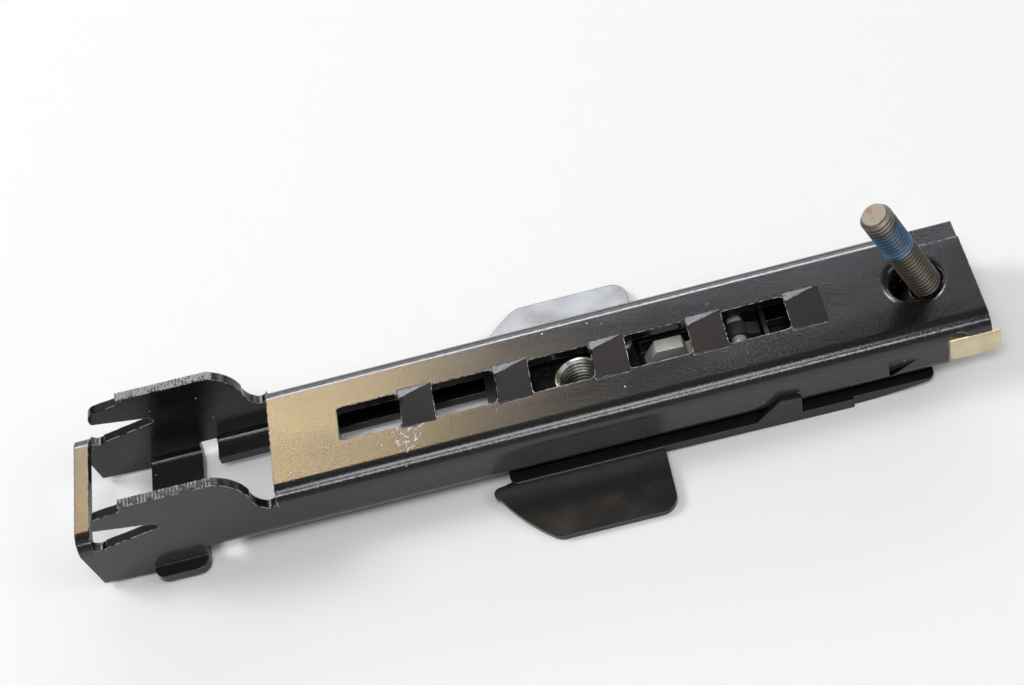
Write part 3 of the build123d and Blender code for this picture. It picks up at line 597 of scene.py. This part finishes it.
@dataclass(frozen=True)
class PatchedThread(Finish):
    """Phosphated bolt steel with a blue locking patch in the threads and red paint on the tip."""

    seat_mm: Triple = (0.0, 0.0, 0.0)
    axis: Triple = (0.0, 0.0, 1.0)
    tip_mm: float = 36.0
    edge_mm: float = 0.12
    edge_share: float = 0.5
    bright: str = "#7C7870"
    rust: str = "#4A4138"
    rust_mm: float = 1.3
    rust_range: Range = (0.4, 0.7)
    # Painted shade colour of the thread roots
    root_shade: str = "#1C1815"
    thread_mm: Range = (3.3, 3.85)
    blue: str = "#1F5478"
    pale: str = "#4F84A4"
    patch_mm: Range = (21.5, 31.0)
    patch_foot_mm: float = 0.5
    patch_top_mm: float = 0.4
    wander_mm: float = 3.0
    wander_by_mm: Range = (-1.6, 1.6)
    patch_gap_mm: float = 0.9
    patch_gap_range: Range = (0.36, 0.5)
    patch_thin: float = 0.45
    pale_over_mm: float = 3.0
    rubbed_mm: Range = (1.0, 2.2)
    rubbed_share: float = 0.75
    cream: str = "#8A7D68"
    end_mm: Range = (0.25, 0.1)
    unshaded_tip_mm: Range = (1.1, 0.6)
    red: str = "#8E4233"
    dab_mm: float = 2.8
    dab_range: Range = (0.53, 0.62)
    dab_share: float = 0.85
    grain_mm: float = 0.3
    grain_strength: float = 0.5
    grain_depth_mm: float = 0.03

    def build(self) -> bpy.types.Material:
        """Makes the bolt's steel with its bands along the axis."""
        bench = self.start()
        rounded = bench.rounded(self.edge_mm)
        along = bench.vectors("DOT_PRODUCT", bench.from_point(self.seat_mm), self.axis)
        low, high = self.patch_mm
        rusty = bench.between(bench.noise(self.rust_mm, 5.0), self.rust_range)
        body = bench.tint(rusty, self.colour, self.rust)
        body = bench.tint(bench.maths(bench.edge(rounded), self.edge_share), body, self.bright)
        # The locking patch, with ragged ends and a paler lower part
        wander = bench.noise(self.wander_mm, 3.0)
        wander = bench.between(wander, (0.0, 1.0), metres(*self.wander_by_mm))
        place = bench.maths(along, wander, "ADD", clamp=False)
        foot, top = self.patch_foot_mm, self.patch_top_mm
        patch = bench.maths(
            bench.between(place, metres(low - foot, low + foot)),
            bench.between(place, metres(high + top, high - top)),
        )
        patchy = bench.between(
            bench.noise(self.patch_gap_mm, 4.0), self.patch_gap_range, (self.patch_thin, 1.0)
        )
        paler = bench.between(along, metres(low + self.pale_over_mm, low))
        blue = bench.tint(paler, self.blue, self.pale)
        body = bench.tint(bench.maths(patch, patchy), body, blue)
        rubbed = bench.between(
            along, metres(*(high + v for v in self.rubbed_mm)), (0.0, self.rubbed_share)
        )
        body = bench.tint(rubbed, body, self.bright)
        # The end face, with its dabs
        end = bench.between(along, metres(*(self.tip_mm - v for v in self.end_mm)))
        body = bench.tint(end, body, self.cream)
        dabs = bench.between(bench.noise(self.dab_mm, 4.0), self.dab_range, (0.0, self.dab_share))
        body = bench.tint(bench.maths(end, dabs), body, self.red)
        # Painted shade in the thread roots, but not on the tip
        crest = bench.thread_depth(self.seat_mm, self.axis, self.thread_mm)
        unshaded = bench.between(along, metres(*(self.tip_mm - v for v in self.unshaded_tip_mm)))
        body = bench.tint(bench.maths(crest, unshaded, "MAXIMUM"), self.root_shade, body)
        bench.feed("Base Color", body)
        coat = bench.maths(patch, end, "MAXIMUM")
        bench.feed("Metallic", bench.between(coat, (0.0, 1.0), (self.metallic, 0.0)))
        relief = bench.noise(self.grain_mm, 3.0)
        normal = bench.bump(relief, self.grain_strength, self.grain_depth_mm, rounded)
        bench.feed("Normal", normal)
        return bench.material


@dataclass(frozen=True)
class StudioFloor(Finish):
    """Matt white paper floor."""

    tooth_mm: float = 2.0
    tooth_strength: float = 0.1
    tooth_depth_mm: float = 0.05

    def build(self) -> bpy.types.Material:
        """Makes the paper with a trace of tooth."""
        bench = self.start()
        tooth = bench.noise(self.tooth_mm, 3.0)
        bench.feed("Normal", bench.bump(tooth, self.tooth_strength, self.tooth_depth_mm))
        return bench.material


def deselect() -> None:
    """Leaves nothing selected, in object mode."""
    if bpy.context.mode != "OBJECT":
        bpy.ops.object.mode_set(mode="OBJECT")
    bpy.ops.object.select_all(action="DESELECT")


def pick(piece: bpy.types.Object) -> None:
    """Makes one piece the selected and active one."""
    deselect()
    piece.select_set(True)
    bpy.context.view_layer.objects.active = piece


def pick_points(piece: bpy.types.Object) -> None:
    """Opens a piece in edit mode with all its points selected."""
    pick(piece)
    bpy.ops.object.mode_set(mode="EDIT")
    bpy.ops.mesh.select_mode(type="VERT")
    bpy.ops.mesh.select_all(action="SELECT")


def apply_place(piece: bpy.types.Object) -> None:
    """Moves a piece's place into its mesh, so that its object stays at the origin."""
    pick(piece)
    bpy.ops.object.transform_apply(location=True, rotation=True, scale=True)


def drawn_loop(name: str, points: Sequence[Range]) -> bpy.types.Object:
    """Draws a closed line in the XZ plane, from a plane primitive merged to a point and extruded.

    Args:
        name: name of the new piece.
        points: (radius, height) of each corner, in millimetres.

    Returns:
        The new object, a mesh of edges.
    """
    deselect()
    bpy.ops.mesh.primitive_plane_add(size=1 * MM, location=metres(points[0][0], 0, points[0][1]))
    piece = bpy.context.active_object
    piece.name = name
    apply_place(piece)
    pick_points(piece)
    bpy.ops.mesh.merge(type="CENTER")
    for (r0, z0), (r1, z1) in zip(points, points[1:]):
        step = metres(r1 - r0, 0, z1 - z0)
        bpy.ops.mesh.extrude_vertices_move(TRANSFORM_OT_translate={"value": step})
    bpy.ops.object.mode_set(mode="OBJECT")
    vertices = piece.data.vertices
    for vertex in vertices:
        vertex.select = vertex.index in (0, len(vertices) - 1)
    bpy.ops.object.mode_set(mode="EDIT")
    bpy.ops.mesh.edge_face_add()
    bpy.ops.object.mode_set(mode="OBJECT")
    return piece


def swept(piece: bpy.types.Object, name: str, steps: int, **settings: object) -> None:
    """Sweeps a loop round the Z axis into a shell whose faces point outwards.

    Args:
        piece: the loop.
        name: name of the sweep.
        steps: segments in a turn.
        settings: further properties of the sweep.
    """
    screw = piece.modifiers.new(name, "SCREW")
    screw.angle = math.tau
    screw.steps = steps
    screw.render_steps = steps
    for key, value in settings.items():
        setattr(screw, key, value)
    pick(piece)
    bpy.ops.object.modifier_apply(modifier=name)
    pick_points(piece)
    bpy.ops.mesh.remove_doubles(threshold=MERGE)
    # A thread starts and ends in an open four-sided hole, and a turned piece has none
    bpy.ops.mesh.fill_holes(sides=4)
    bpy.ops.mesh.select_all(action="SELECT")
    bpy.ops.mesh.normals_make_consistent(inside=False)
    bpy.ops.object.mode_set(mode="OBJECT")


def turned(name: str, points: Sequence[Range], steps: int) -> bpy.types.Object:
    """Turns a profile round the Z axis as on a lathe.

    Args:
        name: name of the new piece.
        points: (radius, height) of the profile's corners, in millimetres.
        steps: sides of the turned shape.

    Returns:
        The turned piece, a closed shell.
    """
    piece = drawn_loop(name, points)
    swept(piece, "turn", steps, use_merge_vertices=True, merge_threshold=MERGE)
    return piece


@dataclass(frozen=True)
class Thread:
    """One thread ridge wound round the Z axis, in millimetres.

    Its foot is a little inside the solid that carries it.
    """

    foot: float
    crest: float
    pitch: float
    start: float
    turns: int
    steps: int
    foot_share: float = 0.92
    crest_share: float = 0.14

    def build(self, name: str) -> bpy.types.Object:
        """Winds the ridge, a closed shell."""
        width = self.foot_share * self.pitch
        top = self.crest_share * self.pitch
        middle = self.start + width / 2
        profile = [
            (self.foot, self.start),
            (self.foot, self.start + width),
            (self.crest, middle + top / 2),
            (self.crest, middle - top / 2),
        ]
        piece = drawn_loop(name, profile)
        swept(piece, "wind", self.steps, screw_offset=self.pitch * MM, iterations=self.turns)
        return piece


def settle(piece: bpy.types.Object, place: Matrix) -> None:
    """Moves a piece made about the Z axis to its place, in metres."""
    piece.matrix_world = place
    apply_place(piece)


def smooth(piece: bpy.types.Object) -> None:
    """Shades a piece smooth except over its sharper edges."""
    pick(piece)
    bpy.ops.object.shade_smooth_by_angle(angle=math.radians(SMOOTH_UNDER_DEG))


def joined(name: str, pieces: Sequence[bpy.types.Object]) -> bpy.types.Object:
    """Joins pieces that are one solid in the real object.

    Args:
        name: name of the joined piece.
        pieces: the pieces, the first of which stays.

    Returns:
        The joined piece.
    """
    pick(pieces[0])
    for piece in pieces[1:]:
        piece.select_set(True)
    bpy.ops.object.join()
    pieces[0].name = name
    return pieces[0]


def dress(piece: bpy.types.Object, material: bpy.types.Material) -> None:
    """Gives a piece its finish.

    Args:
        piece: mesh object.
        material: its material.
    """
    if piece.material_slots:
        for material_slot in piece.material_slots:
            material_slot.material = material
    else:
        piece.data.materials.append(material)


@dataclass(frozen=True)
class CadDress:
    """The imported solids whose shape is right, each with its finish."""

    paint: Finish = DipPaint("black dip paint on pressed steel", "#101011", roughness=0.14)
    zinc_yellow: Finish = ZincPlate(
        "yellow passivated zinc on spring steel",
        "#DDD3B4",
        roughness=0.38,
        metallic=0.9,
        tint_colour="#C9BC94",
    )
    steel_dark: Finish = ZincPlate(
        "oiled blanked steel",
        "#4A4A4B",
        roughness=0.42,
        metallic=1.0,
        tint_colour="#3A3937",
        drift_mm=9.0,
    )
    zinc_bright: Finish = ZincPlate(
        "zinc-plated blanked steel",
        "#CCCAC0",
        roughness=0.45,
        metallic=0.4,
        tint_colour="#B5B3A6",
        grain=0.4,
    )
    # The lever darkens with painted shade towards its pivot, from X = 103 mm
    lever_zinc: Finish = ZincPlate(
        "zinc-plated lever with painted shade at its pivot",
        "#C6C4BE",
        roughness=0.5,
        metallic=0.3,
        tint_colour="#B4B2AA",
        grain=0.4,
        shaded_from=103.0,
    )
    zinc_wire: Finish = ZincPlate(
        "zinc-plated spring wire",
        "#B9BA86",
        roughness=0.35,
        metallic=1.0,
        tint_colour="#9A9C66",
    )
    nylon: Finish = MouldedPlastic("moulded black nylon", "#08080A", roughness=0.66, ior=1.35)
    cover: Finish = MouldedPlastic("matte black moulded cover", "#161618", roughness=0.22)

    def build(self) -> None:
        """Puts each finish on its solids."""
        wanted = {
            ("rail",): self.paint,
            ("bolt_clip",): self.zinc_yellow,
            ("slider_plate", "latch_housing", "plate_washer"): self.steel_dark,
            ("latch_lever",): self.lever_zinc,
            ("latch_pin", "slider_rivets"): self.zinc_bright,
            ("latch_spring",): self.zinc_wire,
            ("shoe_hook_end", "shoe_bolt_end", "release_pusher", "plate_rivets"): self.nylon,
            ("front_plate",): self.cover,
        }
        for nodes, finish in wanted.items():
            material = finish.build()
            for node in nodes:
                dress(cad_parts[node], material)
                log.info("finish %s on %s", finish.name, node)


@dataclass(frozen=True)
class PillarBolt:
    """The captive bolt: its threaded shaft is wound here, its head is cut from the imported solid.

    The shaft's lengths are in millimetres from the seat under the head.
    """

    lean_deg: float = 20.7
    seat: Triple = (161.0455, 0.0, -5.5191)
    head_keeps: float = 1.2
    shaft_from: float = -0.5
    length: float = 36.0
    core_radius: float = 3.36
    tip_chamfer: float = 0.55
    tip_slope: float = 0.6
    thread_from: float = 2.2
    run_out: float = 0.35
    crest_radius: float = 3.99
    pitch: float = 1.25
    sunk: float = 0.06
    core_sides: int = 72
    thread_sides: int = 56

    def axis(self) -> Vector:
        """Direction of the shaft, from the head to the tip."""
        lean = math.radians(self.lean_deg)
        return Vector((-math.sin(lean), 0.0, math.cos(lean)))

    def place(self) -> Matrix:
        """Matrix that carries the Z axis onto the shaft, its origin under the head."""
        turn = Vector((0, 0, 1)).rotation_difference(self.axis()).to_matrix().to_4x4()
        return Matrix.Translation(Vector(self.seat) * MM) @ turn

    def head(self) -> bpy.types.Object:
        """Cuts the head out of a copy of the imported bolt."""
        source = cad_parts["mounting_bolt"]
        piece = source.copy()
        piece.data = source.data.copy()
        piece.parent = None
        piece.name = "bolt_head"
        bpy.context.collection.objects.link(piece)
        cut = Vector(self.seat) * MM + self.axis() * (self.head_keeps * MM)
        pick_points(piece)
        bpy.ops.mesh.remove_doubles(threshold=MERGE)
        bpy.ops.mesh.select_all(action="SELECT")
        bpy.ops.mesh.bisect(plane_co=cut, plane_no=self.axis(), clear_outer=True, use_fill=True)
        bpy.ops.object.mode_set(mode="OBJECT")
        return piece

    def shaft(self) -> bpy.types.Object:
        """Turns the core and winds the thread round it."""
        radius = self.core_radius
        profile = [
            (0.0, self.shaft_from),
            (radius, self.shaft_from),
            (radius, self.length - self.tip_chamfer),
            (radius - self.tip_chamfer * self.tip_slope, self.length),
            (0.0, self.length),
        ]
        core = turned("bolt_core", profile, self.core_sides)
        ridge = Thread(
            foot=radius - self.sunk,
            crest=self.crest_radius,
            pitch=self.pitch,
            start=self.thread_from,
            turns=int((self.length - self.run_out - self.thread_from) / self.pitch),
            steps=self.thread_sides,
        ).build("bolt_ridge")
        for piece in (core, ridge):
            settle(piece, self.place())
        return joined("bolt_shaft", [core, ridge])

    def build(self) -> None:
        """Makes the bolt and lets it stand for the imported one."""
        finish = PatchedThread(
            "phosphated bolt steel with a locking patch",
            "#575148",
            roughness=0.5,
            metallic=0.85,
            seat_mm=self.seat,
            axis=tuple(self.axis()),
            tip_mm=self.length,
        ).build()
        head = self.head()
        shaft = self.shaft()
        for piece in (head, shaft):
            smooth(piece)
            dress(piece, finish)
            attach(piece, Body.BOLT.value)
            log.info("bolt piece %s", piece.name)
        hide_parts("mounting_bolt")


@dataclass(frozen=True)
class AnchorNut:
    """The belt anchor's nut, turned with its collar, its thread wound inside the bore."""

    x: float = 71.0
    bore: float = 5.56
    chamfer: float = 0.4
    barrel: float = 6.48
    top: float = -5.0
    floor: float = -11.2
    flange: float = 8.55
    flange_floor: float = -12.88
    end: float = -19.0
    top_edge: float = 0.15
    flange_edge: float = 0.2
    end_edge: float = 0.3
    crest_radius: float = 5.02
    pitch: float = 1.27
    thread_above_end: float = 0.55
    thread_shorter: float = 1.1
    sunk: float = 0.06
    sides: int = 96
    thread_sides: int = 64

    def build(self) -> None:
        """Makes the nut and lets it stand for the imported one."""
        edge = self.flange_edge
        profile = [
            (self.bore + self.chamfer, self.top),
            (self.barrel - self.top_edge, self.top),
            (self.barrel, self.top - self.top_edge),
            (self.barrel, self.floor),
            (self.flange - edge, self.floor),
            (self.flange, self.floor - edge),
            (self.flange, self.flange_floor + edge),
            (self.flange - edge, self.flange_floor),
            (self.barrel, self.flange_floor),
            (self.barrel, self.end + self.end_edge),
            (self.barrel - self.end_edge, self.end),
            (self.bore + self.chamfer, self.end),
            (self.bore, self.end + self.chamfer),
            (self.bore, self.top - self.chamfer),
        ]
        shell = turned("nut_shell", profile, self.sides)
        ridge = Thread(
            foot=self.bore + self.sunk,
            crest=self.crest_radius,
            pitch=self.pitch,
            start=self.end + self.thread_above_end,
            turns=int((self.top - self.end - self.thread_shorter) / self.pitch),
            steps=self.thread_sides,
        ).build("nut_ridge")
        nut = joined("anchor_nut_threaded", [shell, ridge])
        settle(nut, Matrix.Translation(metres(self.x, 0, 0)))
        smooth(nut)
        material = ZincPlate(
            "pale passivated zinc on a turned nut",
            "#B4B6AC",
            roughness=0.33,
            metallic=0.9,
            tint_colour="#989A8C",
            bore_x=self.x,
            # Painted shade inside the bore
            shade_colour="#22231D",
        ).build()
        dress(nut, material)
        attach(nut, Body.SLIDER.value)
        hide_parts("anchor_nut")
        log.info("nut %s", nut.name)


@dataclass(frozen=True)
class SoftBox:
    """One soft box: its place and sides in metres, its power in watts, and its light's colour."""

    name: str
    place: Triple
    sides: Range
    watts: float
    colour: str = "#FFFFFF"
    shine_only: bool = False

    def hang(self, aim: Triple) -> None:
        """Hangs the lamp so that it faces a point in metres."""
        data = bpy.data.lights.new(self.name, "AREA")
        data.shape = "RECTANGLE"
        data.size, data.size_y = self.sides
        data.energy = self.watts
        data.color = linear(self.colour)[:3]
        lamp = bpy.data.objects.new(self.name, data)
        lamp.location = self.place
        facing = Vector(self.place) - Vector(aim)
        lamp.rotation_euler = facing.to_track_quat("Z", "Y").to_euler()
        lamp.visible_diffuse = not self.shine_only
        bpy.context.scene.collection.objects.link(lamp)


@dataclass(frozen=True)
class Studio:
    """White paper floor, soft lamps and the camera at the photograph's place.

    The floor and the camera are placed in millimetres.
    """

    floor_z: float = -19.32
    paper_side: float = 8.0
    paper_cuts: int = 8
    eye: Triple = (87.72, -288.94, 372.95)
    right: Triple = (0.96741, -0.15081, -0.2034)
    up: Triple = (0.24457, 0.76459, 0.59631)
    view: Triple = (-0.06559, 0.62663, -0.77655)
    lens: float = 66.387
    sensor: float = 36.0
    sight: Range = (0.01, 50.0)
    room: float = 0.26
    room_colour: str = "#F0F1F5"
    aim: Triple = (0.06, 0.0, 0.0)
    # The cards that only shine are what the smooth web and the far wing mirror to the camera
    lamps: tuple[SoftBox, ...] = (
        SoftBox("key softbox", (-0.95, 0.45, 0.95), (0.5, 0.6), 10.2, "#FFFDFA"),
        SoftBox("side softbox", (1.1, -0.35, 0.9), (0.8, 0.6), 4.2),
        SoftBox("camera side strip", (0.0, -0.8, 0.78), (0.8, 0.14), 5.2, "#F4F6FF", True),
        SoftBox("camera side softbox", (0.0, -0.45, 1.0), (0.5, 0.3), 4.2),
        SoftBox("back strip", (0.25, 1.1, 0.35), (1.8, 0.3), 5.6),
        SoftBox("cool card", (0.05, 0.9, 0.74), (1.3, 0.2), 20.0, "#DFE2EA", True),
        SoftBox("warm card", (-0.695, 1.86, 2.4), (0.73, 0.35), 28.0, "#CAB288", True),
        SoftBox("warm card edge", (-0.24, 1.86, 2.4), (0.18, 0.35), 0.9, "#CAB288", True),
    )

    def floor(self) -> None:
        """Lays the paper under the adjuster."""
        deselect()
        bpy.ops.mesh.primitive_grid_add(
            x_subdivisions=self.paper_cuts,
            y_subdivisions=self.paper_cuts,
            size=self.paper_side,
            location=metres(0, 0, self.floor_z),
        )
        paper = bpy.context.active_object
        paper.name = "paper_floor"
        apply_place(paper)
        dress(paper, StudioFloor("matt white paper", "#F2F2F2", roughness=0.9).build())

    def camera(self) -> None:
        """Sets the camera at the photograph's viewing angle."""
        data = bpy.data.cameras.new("camera")
        data.sensor_width = self.sensor
        data.lens = self.lens
        data.clip_start, data.clip_end = self.sight
        camera = bpy.data.objects.new("camera", data)
        turn = Matrix((self.right, self.up, tuple(-v for v in self.view))).transposed().to_4x4()
        camera.matrix_world = Matrix.Translation(Vector(self.eye) * MM) @ turn
        bpy.context.scene.collection.objects.link(camera)
        bpy.context.scene.camera = camera

    def world(self) -> None:
        """Fills the room with soft grey light."""
        world = bpy.data.worlds.new("room")
        world.use_nodes = True
        tree = world.node_tree
        tree.nodes.clear()
        light = {"Color": linear(self.room_colour), "Strength": self.room}
        sky = add_node(tree, "ShaderNodeBackground", light)
        add_node(tree, "ShaderNodeOutputWorld", {"Surface": sky.outputs["Background"]})
        bpy.context.scene.world = world

    def build(self) -> None:
        """Sets the whole studio up."""
        self.floor()
        self.world()
        for lamp in self.lamps:
            lamp.hang(self.aim)
        self.camera()
        bpy.context.scene.view_settings.view_transform = "Standard"
        log.info("studio ready")


def main() -> None:
    """Builds the looks of the adjuster, piece by piece."""
    logging.basicConfig(level=logging.INFO, format="%(name)s: %(message)s")
    for part in (CadDress(), PillarBolt(), AnchorNut(), Studio()):
        part.build()
        log.info("built %s", type(part).__name__)


if __name__ == "__main__":
    main()
